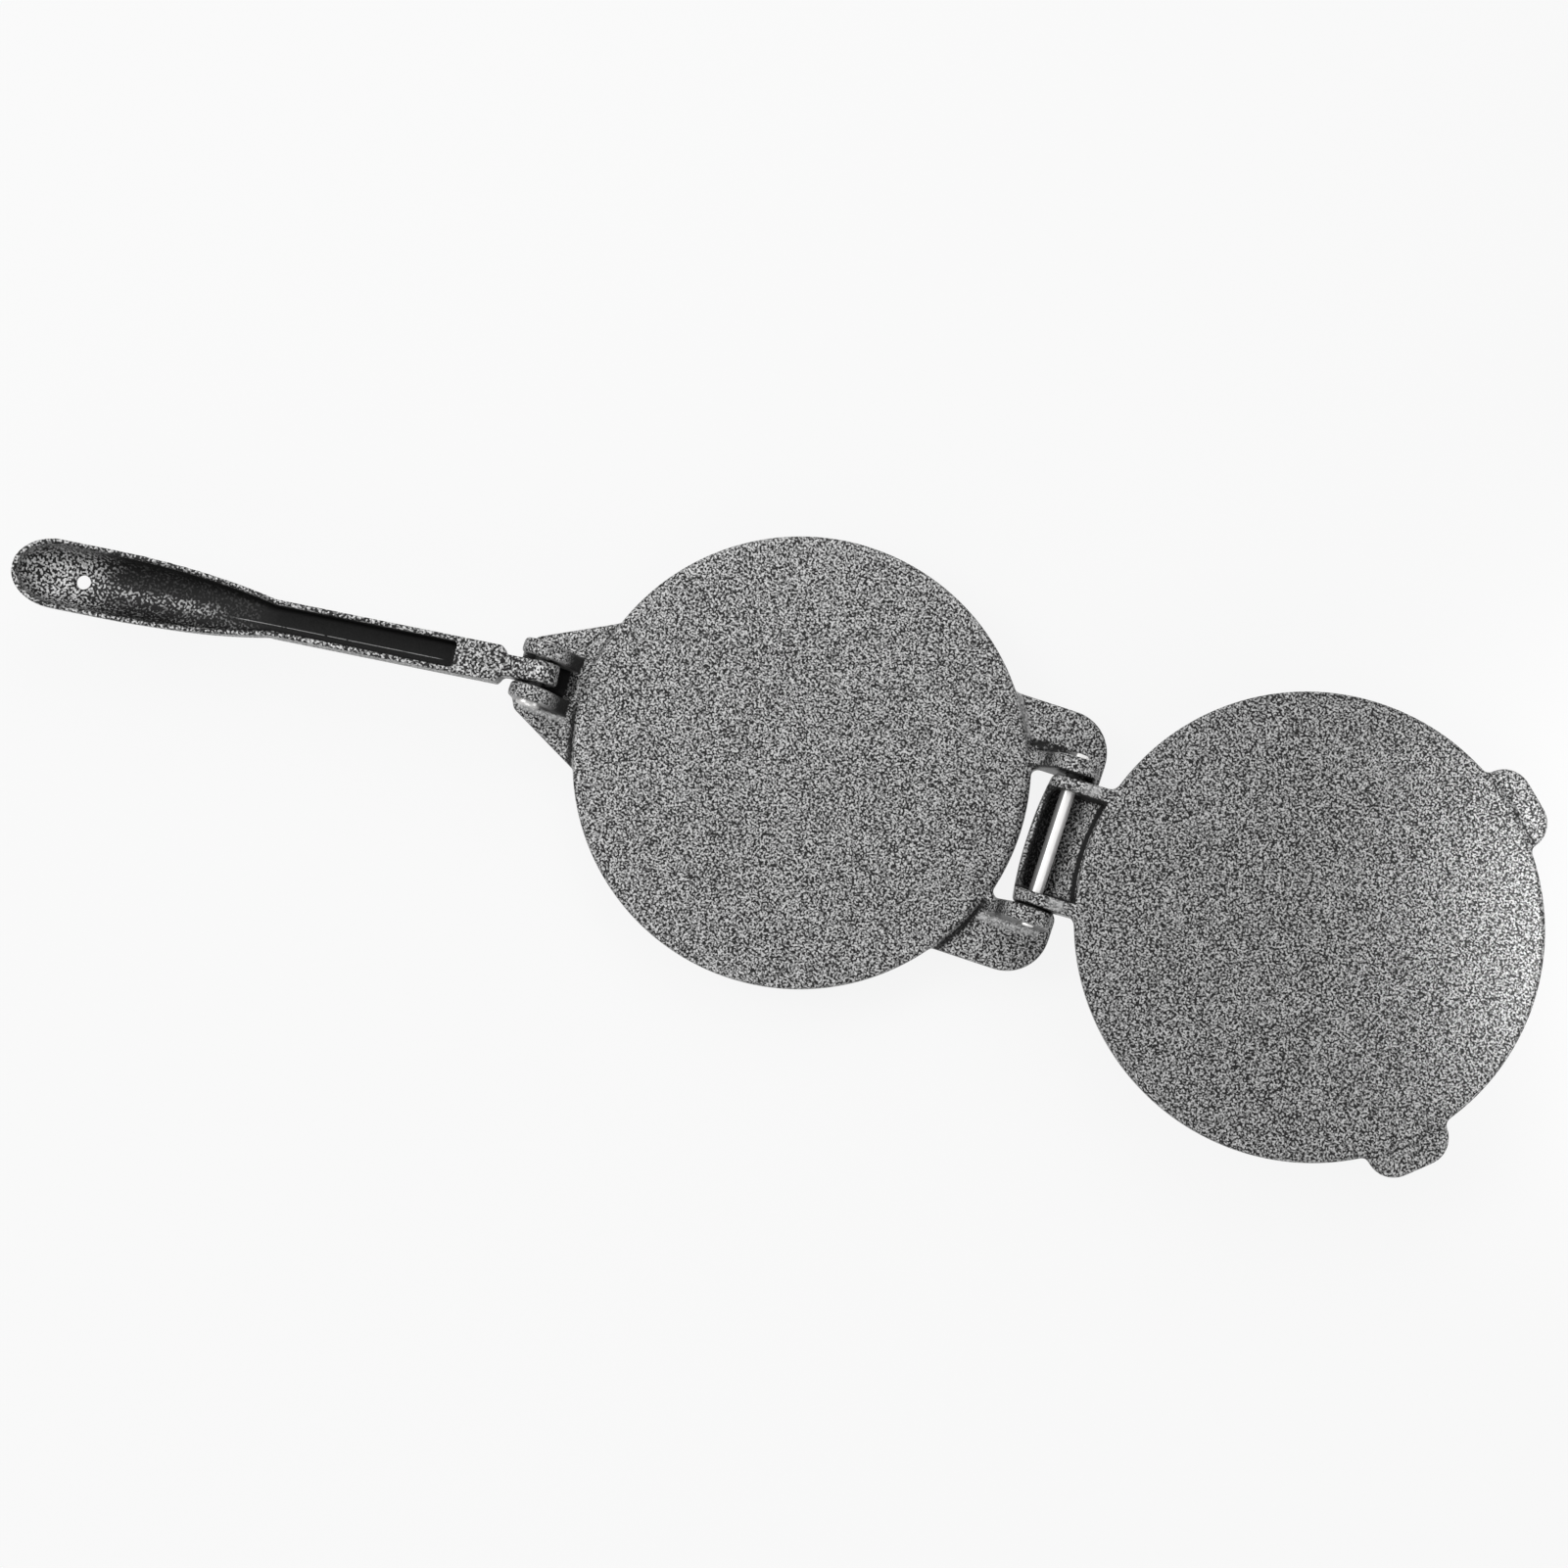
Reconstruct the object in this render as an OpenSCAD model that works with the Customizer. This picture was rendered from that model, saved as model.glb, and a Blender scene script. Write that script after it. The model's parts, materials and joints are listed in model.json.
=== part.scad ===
// Hand press with two round cast iron plates, shown laid open.
// The origin is the centre of the lower plate's pressing face, +Z is up, the
// lid is hinged on the +X side and the lever swings on the -X side.

/* [Plates] */
// Diameter of the lower plate
plate_d = 200; // [170:1:240]
// Thickness of the lower plate
plate_t = 6; // [4.5:0.5:9]
// How far the lid's rim stands out beyond the lower plate's rim
lid_overhang = 1.2; // [0:0.1:2]
// Thickness of the lid
lid_t = 6; // [4.5:0.5:9]
// Radius on the edges of both plates
edge_r = 1.4; // [0.4:0.1:2]
// Gap between the pressing faces when the lid is shut
press_gap = 0.5; // [0.3:0.1:1.5]

/* [Hinge] */
// Distance from the lower plate's rim to the hinge pin's axis
hinge_reach = 15.5; // [14.5:0.5:20]
// Height of the hinge pin's axis above the pressing face
hinge_h = 12.5; // [11.5:0.5:16]
// Diameter of the hinge pin
hinge_pin_d = 6.4; // [5:0.1:8]
// Diameter of the hinge pin's head
hinge_head_d = 8.6; // [8.4:0.1:12]
// Outer radius of the ears around the hinge pin
ear_r = 10.5; // [8.5:0.5:12]
// Thickness of each ear
ear_t = 7.6; // [5:0.2:10]
// How far in from the plate's rim each ear's slope begins
ear_root = 2; // [0:0.5:3]
// How far the lid is swung open, measured from shut
lid_open = 182; // [170:1:186]

/* [Lid bracket] */
// Width of the lid's hinge bracket
bracket_w = 58; // [44:1:70]
// Outer radius of the bracket's curled back wall
bracket_r = 11; // [9:0.5:12]
// Thickness of the curled wall and of the floor that joins it to the lid
bracket_wall = 3; // [2:0.25:4]
// Thickness of the two arms that the pin passes through
arm_t = 6; // [4:0.5:9]
// Outer radius of the arms around the pin
arm_r = 8.8; // [6:0.2:9]
// How much further out the back wall stands in the middle than at its ends
back_bow = 2.7; // [0.5:0.1:3]
// Distance from the pin to where the bracket's floor runs out on the lid
ramp_l = 26; // [23:0.5:32]

/* [Rear wings] */
// Width across the outer edges of both wings
wing_span = 119; // [112:1:150]
// How far the wings reach past the hinge pin's axis
wing_reach = 12.5; // [11:0.5:18]
// Radius of the wings' outer corners
wing_r = 19; // [8:1:20]
// How far the wings' shelves run in under the plate
wing_root = 30; // [20:1:45]
// How far the shelf stands out from the plate's rim between the ears
apron = 1.8; // [0.5:0.1:3]
// How far the wings and the front nose lie below the pressing face
step_down = 5; // [3:0.5:7]
// Thickness of the wings and of the front nose
shelf_t = 7; // [5:0.5:10]

/* [Front fork] */
// Distance from the lower plate's rim to the lever pin's axis
fork_reach = 20; // [18:0.5:26]
// Height of the lever pin's axis above the pressing face
fork_h = 12; // [11:0.5:15]
// Outer radius of the fork's ears around the pin
fork_r = 10; // [8.5:0.5:11]
// Thickness of each of the fork's ears
fork_t = 7; // [5:0.5:9]
// Gap between the fork's ears
fork_gap = 13; // [12:0.5:15]
// Half the nose's width where it meets the plate
nose_root = 34.5; // [26:0.5:40]
// How far the nose's tip stands out beside the fork
nose_lip = 3; // [0:0.5:6]
// Distance from the plate's rim to the wall that closes the fork
fork_wall_gap = 4; // [3:0.5:8]
// Diameter of the lever pin
lever_pin_d = 6.4; // [5:0.1:8]
// Diameter of the lever pin's head
lever_head_d = 10.8; // [9:0.1:13]

/* [Lever] */
// Length of the lever from its pin to its end
lever_l = 236; // [200:1:280]
// Width of the lever's shank
lever_w = 16.2; // [14:0.2:20]
// Depth of the lever's shank
lever_d = 14; // [11:0.5:18]
// Height of the lever's open side above its pin
lever_rise = 6.5; // [5:0.5:7]
// Thickness of the tongue between the fork's ears
tongue_t = 9.5; // [8:0.25:10]
// Radius of the tongue's rounded end
tongue_r = 9; // [7:0.25:9]
// Distance from the pin to the start of the solid block
block_start = 16.8; // [14:0.2:20]
// Length of the solid block
block_l = 19.7; // [12:0.1:26]
// Thickness of the lever's side walls
lever_wall = 2.3; // [1.8:0.1:3]
// Thickness of the lever's floor
lever_floor = 3; // [2:0.25:4]
// Diameter of the pin hole in the tongue, which is drilled loose
tongue_hole_d = 7.8; // [7:0.1:9]
// Sideways slant of the lever in its loose fork
lever_slant = 6.7; // [0:0.1:7]

/* [Grip] */
// Length of the hollow grip
grip_l = 118; // [90:1:140]
// Width of the grip at its widest
grip_w = 30.7; // [24:0.1:36]
// Depth of the grip at its widest
grip_d = 17; // [15:0.5:22]
// Length over which the grip widens
flare_run = 80; // [50:1:98]
// Length of the grip's rounded end
grip_end = 20; // [12:1:26]
// Diameter of the hanging hole
hang_d = 6.4; // [5:0.1:9]
// Distance from the hanging hole to the end of the grip
hang_in = 29.2; // [24:0.1:45]

/* [Stand] */
// Height of the pressing face above the table
stand_h = 24; // [20:1:34]
// Radius of a foot at the table
foot_r = 8; // [6:0.5:10]
// Radius of a foot at its top
foot_top_r = 10; // [8:0.5:12]
// How far the rear feet stand in from the wings' outer edges
foot_in = 14; // [12:0.5:20]

/* [Ribs] */
// Width of the ribs under the lower plate
base_rib_w = 7; // [4:0.5:12]
// Depth of the ribs under the lower plate
base_rib_h = 7; // [4:0.5:12]
// Width of the ribs on the lid
lid_rib_w = 8; // [5:0.5:12]
// Height of the ribs on the lid
lid_rib_h = 3; // [2:0.5:4]
// Width of the bead around both rims
bead_w = 6; // [4:0.5:10]
// Height of the bead around both rims
bead_h = 2; // [1:0.5:2.5]
// How far the bead stands in from the rim
bead_in = 3; // [2.5:0.5:6]
// Radius of the boss in the middle of both plates
boss_r = 18; // [12:1:30]
// Height of the pad that the lever presses on
pad_h = 5; // [4:0.5:6]
// Width of the pad that the lever presses on
pad_w = 26; // [18:1:40]
// Distance from the lever pin to the middle of the pad, with the lid shut
pad_at = 30.5; // [26:0.5:34]

/* [Lid tabs] */
// Angle between each lifting tab and the lid's centre line
tab_angle = 48; // [35:1:60]
// Width of each tab
tab_w = 37; // [26:1:50]
// How far each tab stands out from the lid's rim
tab_out = 12.2; // [8:0.1:16]
// Radius of the tabs' corners
tab_r = 12; // [6:1:13]
// Thickness of the tabs
tab_t = 4.5; // [3:0.5:6]

/* [Clearances] */
// Radial clearance of the hinge pin in the lid's arms
run_clear = 0.08; // [0.02:0.01:0.1]
// Gap on each side of the lid's bracket, between the ears
side_gap = 1; // [0.7:0.1:2]
// Gap at the stops that hold the open lid and the swung out lever
stop_gap = 0.3; // [0.3:0.1:0.6]
// How far the lid has slid along its pin, towards -Y
lid_slip = 0.6; // [0:0.1:0.6]

/* [Hidden] */
$fn = 96;
eps = 0.01;
iron = [0.42, 0.42, 0.43];
steel = [0.86, 0.86, 0.85];

plate_r = plate_d / 2;
lid_r = plate_r + lid_overhang;
lid_back = press_gap + lid_t;
hinge_x = plate_r + hinge_reach;
fork_x = -plate_r - fork_reach;
ear_in = bracket_w / 2 + side_gap;
ear_out = ear_in + ear_t;
fork_out = fork_gap / 2 + fork_t;
shelf_top = -step_down;
shelf_bottom = -step_down - shelf_t;
lever_low = lever_rise - lever_d;
neck_low = lever_low + 1;
peen_t = 0.8;
peen_r = 0.7;
head_t = 2;

// The bracket's floor is a flat plate tangent to its curled wall. In the XZ
// plane its normal leaves the pin at ramp_angle while the lid is shut.
ramp_rise = lid_back - hinge_h;
ramp_d = norm([ramp_l, ramp_rise]);
ramp_angle = 180 - atan2(ramp_rise, ramp_l) - acos(bracket_r / ramp_d);

// Stations along the grip, close together on its rounded end.
flare_l = grip_l - grip_end;
grip_start = lever_l - grip_l;
flare_steps = 16;
end_steps = 10;
grip_at = concat(
    [for (i = [0 : flare_steps - 1]) flare_l * i / flare_steps],
    [for (i = [0 : end_steps]) flare_l + grip_end * sin(88 * i / end_steps)]);

// A rod along Y, from y0 to y1.
module y_rod(r, y0, y1, x, z) {
    translate([x, y0, z]) rotate([-90, 0, 0]) cylinder(h = y1 - y0, r = r);
}

// A flat outline in the XZ plane, made y1 - y0 thick.
module xz_plate(y0, y1) {
    translate([0, y1, 0]) rotate([90, 0, 0]) linear_extrude(y1 - y0) children();
}

// A round plate with rounded edges, lying on z = 0.
module round_plate(r, t) {
    er = min(edge_r, t / 2 - 0.2);
    rotate_extrude($fn = 180) {
        square([r - er, t]);
        translate([r - er - eps, er]) square([er + eps, t - 2 * er]);
        for (z = [er, t - er]) translate([r - er, z]) intersection() {
            circle(er, $fn = 32);
            translate([-eps, -er]) square([er + eps, 2 * er]);
        }
    }
}

// A ring bead inside a rim of radius r.
module bead(r, h) {
    difference() {
        cylinder(h = h, r = r, $fn = 180);
        translate([0, 0, -1]) cylinder(h = h + 2, r = r - bead_w, $fn = 180);
    }
}

// A straight rib from the centre, w wide and h high, lying on z = 0.
module rib(l, w, h) {
    translate([0, -w / 2, 0]) cube([l, w, h]);
}

// The outline of one rear wing, on the +Y side.
module wing_outline() {
    x0 = plate_r - wing_root;
    x1 = hinge_x + wing_reach;
    y1 = wing_span / 2;
    corner = min(wing_r, y1 - ear_in - 1);
    difference() {
        translate([x0, ear_in]) square([x1 - x0, y1 - ear_in]);
        translate([x1 - corner, y1 - corner]) difference() {
            square(corner + 1);
            circle(corner);
        }
    }
}

module rear_wing() {
    foot_x = hinge_x + wing_reach - foot_in;
    foot_y = wing_span / 2 - foot_in;
    translate([0, 0, shelf_bottom]) linear_extrude(shelf_t) wing_outline();
    translate([foot_x, foot_y, -stand_h])
        cylinder(h = stand_h + shelf_bottom + 1, r1 = foot_r, r2 = foot_top_r);
}

// The strip of shelf that shows between the ears, beside the plate's rim.
module apron_strip() {
    translate([0, 0, shelf_bottom]) linear_extrude(shelf_t) intersection() {
        circle(plate_r + apron, $fn = 180);
        translate([plate_r - wing_root, -ear_in - 1]) square([2 * wing_root, 2 * ear_in + 2]);
    }
}

// One ear of the hinge. Its front edge slopes from the round top to the plate.
module hinge_ear() {
    root = [plate_r - ear_root, -1];
    gap = root - [hinge_x, hinge_h];
    front = atan2(gap[1], gap[0]) - acos(ear_r / norm(gap));
    xz_plate(ear_in, ear_out) {
        translate([hinge_x, hinge_h]) circle(ear_r);
        polygon([[hinge_x + ear_r, hinge_h], [hinge_x, hinge_h],
                 [hinge_x + ear_r * cos(front), hinge_h + ear_r * sin(front)], root,
                 [root[0], shelf_bottom], [hinge_x + ear_r, shelf_bottom]]);
    }
}

// The bar between the ears that the open lid's bracket comes to rest on. Its
// top follows the bracket's floor.
module stop_bar() {
    open_angle = ramp_angle - lid_open;
    top = bracket_r + stop_gap;
    x0 = hinge_x + 4;
    x1 = hinge_x + ear_r;
    function top_at(x) = hinge_h + (top - (x - hinge_x) * cos(open_angle)) / sin(open_angle);
    xz_plate(-ear_in - 1, ear_in + 1)
        polygon([[x0, shelf_bottom], [x1, shelf_bottom], [x1, top_at(x1)], [x0, top_at(x0)]]);
}

module nose() {
    tip_x = fork_x - fork_r + 1.5;
    tip_y = fork_out + nose_lip;
    root_x = -sqrt(plate_r * plate_r - nose_root * nose_root);
    translate([0, 0, shelf_bottom]) linear_extrude(shelf_t)
        polygon([[root_x + 20, nose_root - 8], [root_x, nose_root], [tip_x, tip_y],
                 [tip_x, -tip_y], [root_x, -nose_root], [root_x + 20, -nose_root + 8]]);
    translate([fork_x + 4, 0, -stand_h])
        cylinder(h = stand_h + shelf_bottom + 1, r1 = foot_r, r2 = foot_top_r);
}

// One ear of the fork. Its back edge runs from the round top down to the wall
// that closes the fork beside the plate.
module fork_ear() {
    wall_x = -plate_r - fork_wall_gap;
    wall_z = -1.5;
    gap = [wall_x - fork_x, wall_z - fork_h];
    back = atan2(gap[1], gap[0]) + acos(fork_r / norm(gap));
    xz_plate(fork_gap / 2, fork_out) {
        translate([fork_x, fork_h]) circle(fork_r);
        polygon([[fork_x - fork_r, fork_h], [fork_x, fork_h],
                 [fork_x + fork_r * cos(back), fork_h + fork_r * sin(back)],
                 [wall_x, wall_z], [wall_x, shelf_bottom], [fork_x - fork_r, shelf_bottom]]);
    }
    translate([wall_x, -1, shelf_bottom])
        cube([fork_wall_gap + 4, fork_out + 1, wall_z - shelf_bottom]);
}

// The sill at the fork's mouth that carries the lever when it is swung out. It
// stops short of the circle that the tongue's end turns in.
module fork_sill() {
    top = fork_h + neck_low - stop_gap;
    x0 = fork_x - fork_r;
    x1 = fork_x - sqrt(pow(tongue_r + 0.5, 2) - pow(fork_h - top, 2));
    translate([x0, -fork_gap / 2 - 1, shelf_bottom])
        cube([x1 - x0, fork_gap + 2, top - shelf_bottom]);
}

module base_plate() {
    foot_turn = atan2(wing_span / 2 - foot_in, hinge_x + wing_reach - foot_in);
    color(iron) difference() {
        union() {
            translate([0, 0, -plate_t]) round_plate(plate_r, plate_t);
            translate([0, 0, -plate_t - bead_h]) bead(plate_r - bead_in, bead_h + 1);
            translate([0, 0, -plate_t - base_rib_h]) cylinder(h = base_rib_h + 1, r = boss_r);
            translate([0, 0, -plate_t - base_rib_h])
                for (turn = [180, foot_turn, -foot_turn])
                    rotate([0, 0, turn]) rib(plate_r + 4, base_rib_w, base_rib_h + 1);
            for (side = [0, 1]) mirror([0, side, 0]) {
                rear_wing();
                hinge_ear();
                fork_ear();
            }
            apron_strip();
            stop_bar();
            nose();
            fork_sill();
        }
        y_rod(hinge_pin_d / 2, -ear_out - 1, ear_out + 1, hinge_x, hinge_h);
        y_rod(lever_pin_d / 2, -fork_out - 1, fork_out + 1, fork_x, fork_h);
    }
}

// The bracket's side view, with the lid shut. The curled wall, the floor and
// the two arms share it.
module bracket_side() {
    wall_low = 3;
    foot = [hinge_x - ramp_l, lid_back - 1];
    translate([hinge_x, hinge_h]) intersection() {
        circle(bracket_r);
        translate([-bracket_r, -wall_low]) square([2 * bracket_r, bracket_r + wall_low]);
    }
    polygon([[hinge_x, hinge_h],
             [hinge_x + bracket_r * cos(ramp_angle), hinge_h + bracket_r * sin(ramp_angle)],
             [foot[0], lid_back], foot, [hinge_x - bracket_r, foot[1]]]);
}

// The arms' side view, which adds the round end under the pin.
module arm_side() {
    root = [lid_r - 4, press_gap + 0.4];
    reach = root - [hinge_x, hinge_h];
    down = atan2(reach[1], reach[0]) + acos(arm_r / norm(reach));
    translate([hinge_x, hinge_h]) circle(arm_r);
    polygon([[hinge_x, hinge_h], [hinge_x - 6, lid_back - 0.4], [root[0], lid_back - 0.4], root,
             [hinge_x + arm_r * cos(down), hinge_h + arm_r * sin(down)]]);
}

// The hollow inside the bracket's side view, open towards the lower plate.
module hollow_side() {
    inner_r = bracket_r - bracket_wall;
    x0 = hinge_x - ramp_l;
    function floor_at(x) = hinge_h + (inner_r - (x - hinge_x) * cos(ramp_angle)) / sin(ramp_angle);
    translate([hinge_x, hinge_h]) circle(inner_r);
    polygon([[hinge_x, hinge_h],
             [hinge_x + inner_r * cos(ramp_angle), hinge_h + inner_r * sin(ramp_angle)],
             [x0, floor_at(x0)], [x0, -5], [hinge_x + inner_r, -5], [hinge_x + inner_r, hinge_h]]);
}

// Keeps what lies inside a shallow bow, reach past the pin in the middle.
module inside_bow(reach) {
    half = bracket_w / 2;
    bow_r = (half * half + back_bow * back_bow) / (2 * back_bow);
    intersection() {
        children();
        translate([hinge_x + reach - bow_r, 0, -50]) cylinder(h = 100, r = bow_r, $fn = 360);
    }
}

module lid_bracket() {
    half = bracket_w / 2;
    difference() {
        inside_bow(bracket_r) union() {
            xz_plate(-half, half) bracket_side();
            for (y = [-half, half - arm_t]) xz_plate(y, y + arm_t) arm_side();
        }
        difference() {
            inside_bow(bracket_r - bracket_wall)
                xz_plate(-half + arm_t, half - arm_t) hollow_side();
            cylinder(h = 100, r = lid_r - 2.2, center = true, $fn = 180);
        }
    }
}

// One lifting tab, standing out along +X from the lid's rim.
module tab() {
    half = tab_w / 2 - tab_r;
    tip = lid_r + tab_out;
    translate([0, 0, lid_back - tab_t]) linear_extrude(tab_t - 0.3) {
        for (y = [-half, half]) translate([tip - tab_r, y]) circle(tab_r);
        translate([tip - tab_r, -half]) square([tab_r, 2 * half]);
        translate([lid_r - 14, -tab_w / 2]) square([tip - tab_r - lid_r + 14, tab_w]);
    }
}

// The lid as it lies when it is shut.
module shut_lid() {
    pad_x = fork_x + pad_at;
    difference() {
        union() {
            translate([0, 0, press_gap]) round_plate(lid_r, lid_t);
            translate([0, 0, lid_back - 1]) {
                bead(lid_r - bead_in, bead_h + 1);
                cylinder(h = lid_rib_h + 1, r = boss_r);
                for (turn = [0, 180, 180 - tab_angle, 180 + tab_angle])
                    rotate([0, 0, turn]) rib(lid_r - 5, lid_rib_w, lid_rib_h + 1);
            }
            for (side = [-1, 1]) rotate([0, 0, 180 + side * tab_angle]) tab();
            lid_bracket();
            y_rod(pad_h, -pad_w / 2, pad_w / 2, pad_x, lid_back);
        }
        y_rod(hinge_pin_d / 2 + run_clear, -ear_in, ear_in, hinge_x, hinge_h);
    }
}

module lid_plate() {
    color(iron) translate([hinge_x, -lid_slip, hinge_h]) rotate([0, lid_open, 0])
        translate([-hinge_x, 0, -hinge_h]) shut_lid();
}

// Half the width and the depth of the grip, with a wall taken off, at a
// distance along it. The side flares quickly, then the end closes as an oval.
function end_part(x, cut) =
    sqrt(max(0, 1 - pow(max(0, x - flare_l) / (grip_end - cut), 2)));
function flare(x) = 1 - pow(1 - min(1, x / flare_run), 2.3);
function half_w(x, cut) =
    (lever_w / 2 + (grip_w - lever_w) / 2 * flare(x) - cut) * end_part(x, cut);
function depth(x, cut, floor_cut) =
    (lever_d + (grip_d - lever_d) * flare(x) - floor_cut) * end_part(x, cut);
function boxy(x) = 7 - 4.4 * min(1, 1.6 * x / flare_run);

// One closed cross-section: a rounded trough with its top lifted by lid_up.
function ring(x, cut, floor_cut, lid_up, n = 18) =
    let (w = half_w(x, cut), d = depth(x, cut, floor_cut), p = 2 / boxy(x))
    concat(
        [[x, w, lid_up], [x, -w, lid_up]],
        [for (i = [0 : n]) let (a = 180 - 180 * i / n)
            [x, w * sign(cos(a)) * pow(abs(cos(a)), p), -d * pow(abs(sin(a)), p) - eps]]);

// A solid through a list of cross-sections that have the same number of points.
module loft(rings) {
    m = len(rings[0]);
    last = len(rings) - 1;
    polyhedron(
        points = [for (r = rings) each r],
        faces = concat(
            [[for (j = [0 : m - 1]) j]],
            [for (i = [0 : last - 1], j = [0 : m - 1]) let (a = i * m + j, b = i * m + (j + 1) % m)
                each [[b, a, a + m], [b, a + m, b + m]]],
            [[for (j = [0 : m - 1]) last * m + m - 1 - j]]),
        convexity = 6);
}

// The lever pointing along +X with its pin on the Y axis, open side up.
module straight_lever() {
    block_end = block_start + block_l;
    nib = 2;
    difference() {
        union() {
            y_rod(tongue_r, -tongue_t / 2, tongue_t / 2, 0, 0);
            translate([0, -tongue_t / 2, neck_low])
                cube([block_start + 1, tongue_t, lever_rise - neck_low - 0.5]);
            translate([0, 0, lever_low]) linear_extrude(lever_d)
                polygon([[block_start - nib, tongue_t / 2], [block_start, lever_w / 2],
                         [grip_start + 1, lever_w / 2], [grip_start + 1, -lever_w / 2],
                         [block_start, -lever_w / 2], [block_start - nib, -tongue_t / 2]]);
            translate([grip_start, 0, lever_rise])
                loft([for (x = grip_at) ring(x, 0, 0, 0)]);
        }
        translate([block_end, lever_wall - lever_w / 2, lever_low + lever_floor])
            cube([grip_start - block_end + 2, lever_w - 2 * lever_wall, lever_d]);
        translate([grip_start, 0, lever_rise])
            loft([for (x = grip_at) ring(min(x, flare_l + (x - flare_l) * 0.99 * (1 - lever_wall / grip_end)),
                                         lever_wall, lever_floor, 5)]);
        y_rod(tongue_hole_d / 2, -tongue_t, tongue_t, 0, 0);
        translate([lever_l - hang_in, 0, lever_rise - grip_d - 5]) cylinder(h = 30, d = hang_d);
    }
}

module lever() {
    color(iron) translate([fork_x, 0, fork_h]) rotate([0, 0, 180 + lever_slant]) straight_lever();
}

// A pin with a head past its +Y ear and a peened end past its -Y ear.
module headed_pin(d, head_d, out) {
    y_rod(d / 2, -out, out, 0, 0);
    translate([0, out, 0]) rotate([-90, 0, 0]) {
        cylinder(h = head_t * 0.6, d = head_d);
        translate([0, 0, head_t * 0.6]) cylinder(h = head_t * 0.4, d1 = head_d, d2 = head_d - 1.4);
    }
    translate([0, -out, 0]) rotate([90, 0, 0])
        cylinder(h = peen_t, r1 = d / 2 + peen_r, r2 = d / 2);
}

module hinge_pin() {
    color(steel) translate([hinge_x, 0, hinge_h]) headed_pin(hinge_pin_d, hinge_head_d, ear_out);
}

module lever_pin() {
    color(steel) translate([fork_x, 0, fork_h]) mirror([0, 1, 0])
        headed_pin(lever_pin_d, lever_head_d, fork_out);
}

base_plate();
lid_plate();
lever();
hinge_pin();
lever_pin();
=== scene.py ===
import json
import math

import bpy
import bmesh
from mathutils import Matrix, Vector


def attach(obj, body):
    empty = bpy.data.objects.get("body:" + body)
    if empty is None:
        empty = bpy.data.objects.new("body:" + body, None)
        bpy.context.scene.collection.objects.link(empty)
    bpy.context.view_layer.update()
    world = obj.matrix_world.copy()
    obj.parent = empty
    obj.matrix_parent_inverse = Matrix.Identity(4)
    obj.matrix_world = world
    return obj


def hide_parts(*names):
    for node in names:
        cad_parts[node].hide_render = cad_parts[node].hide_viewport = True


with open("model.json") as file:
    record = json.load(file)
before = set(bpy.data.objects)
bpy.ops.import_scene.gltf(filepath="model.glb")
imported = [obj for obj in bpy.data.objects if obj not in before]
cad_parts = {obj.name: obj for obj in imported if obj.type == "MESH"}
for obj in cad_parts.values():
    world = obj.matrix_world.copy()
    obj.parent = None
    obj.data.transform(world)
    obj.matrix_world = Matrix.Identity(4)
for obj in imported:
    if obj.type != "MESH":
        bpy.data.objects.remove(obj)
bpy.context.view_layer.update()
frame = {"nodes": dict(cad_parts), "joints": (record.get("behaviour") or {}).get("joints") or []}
joints = {joint["name"]: joint for joint in frame["joints"]}
lidPin = Vector(joints["lid_hinge"]["pos_m"])
lidTurn = math.radians(joints["lid_hinge"]["range_deg"][1])
leverPin = Vector(joints["lever_swing"]["pos_m"])


class Wire:
    tree = None  # the node tree that new nodes go into

    def __init__(self, socket):
        self.socket = socket

    @classmethod
    def node(cls, kind, settings=None, out=0, **inputs):  # i0, i1 and so on name an input by its place
        made = cls.tree.nodes.new(kind)
        for name, value in (settings or {}).items():
            setattr(made, name, value)
        for name, value in inputs.items():
            key = int(name[1:]) if name[0] == "i" and name[1:].isdigit() else name.replace("_", " ")
            cls.feed(made.inputs[key], value)
        return cls(made.outputs[out])

    @classmethod
    def feed(cls, socket, value):
        if isinstance(value, Wire):
            cls.tree.links.new(value.socket, socket)
        else:
            socket.default_value = value

    def maths(self, operation, other, swap=False):
        first, second = (other, self) if swap else (self, other)
        return Wire.node("ShaderNodeMath", {"operation": operation}, i0=first, i1=second)

    def __add__(self, other): return self.maths("ADD", other)
    def __radd__(self, other): return self.maths("ADD", other, True)
    def __sub__(self, other): return self.maths("SUBTRACT", other)
    def __rsub__(self, other): return self.maths("SUBTRACT", other, True)
    def __mul__(self, other): return self.maths("MULTIPLY", other)
    def __rmul__(self, other): return self.maths("MULTIPLY", other, True)
    def __truediv__(self, other): return self.maths("DIVIDE", other)
    def __pow__(self, other): return self.maths("POWER", other)
    def low(self, other): return self.maths("MINIMUM", other)
    def high(self, other): return self.maths("MAXIMUM", other)
    def size(self): return Wire.node("ShaderNodeMath", {"operation": "ABSOLUTE"}, i0=self)

    def above(self, low, high):
        return Wire.node("ShaderNodeMapRange", {"interpolation_type": "SMOOTHSTEP"},
                         i0=self, i1=low, i2=high, i3=0.0, i4=1.0)

    def below(self, low, high): return 1 - self.above(low, high)

    def tint(self, dark, light):
        return Wire.node("ShaderNodeMix", {"data_type": "RGBA"}, out=2, i0=self, i6=dark, i7=light)


def grey(value, warm=0.0):
    return (value * (1 + warm), value, value * (1 - warm), 1)


def newMaterial(name):
    material = bpy.data.materials.new(name)
    material.use_nodes = True
    Wire.tree = material.node_tree
    return material, material.node_tree.nodes["Principled BSDF"]


def noise(place, scale, detail=0.0):
    return Wire.node("ShaderNodeTexNoise", Vector=place, Scale=scale, Detail=detail)


def axes(place):
    return [Wire.node("ShaderNodeSeparateXYZ", Vector=place, out=i) for i in range(3)]


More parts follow.
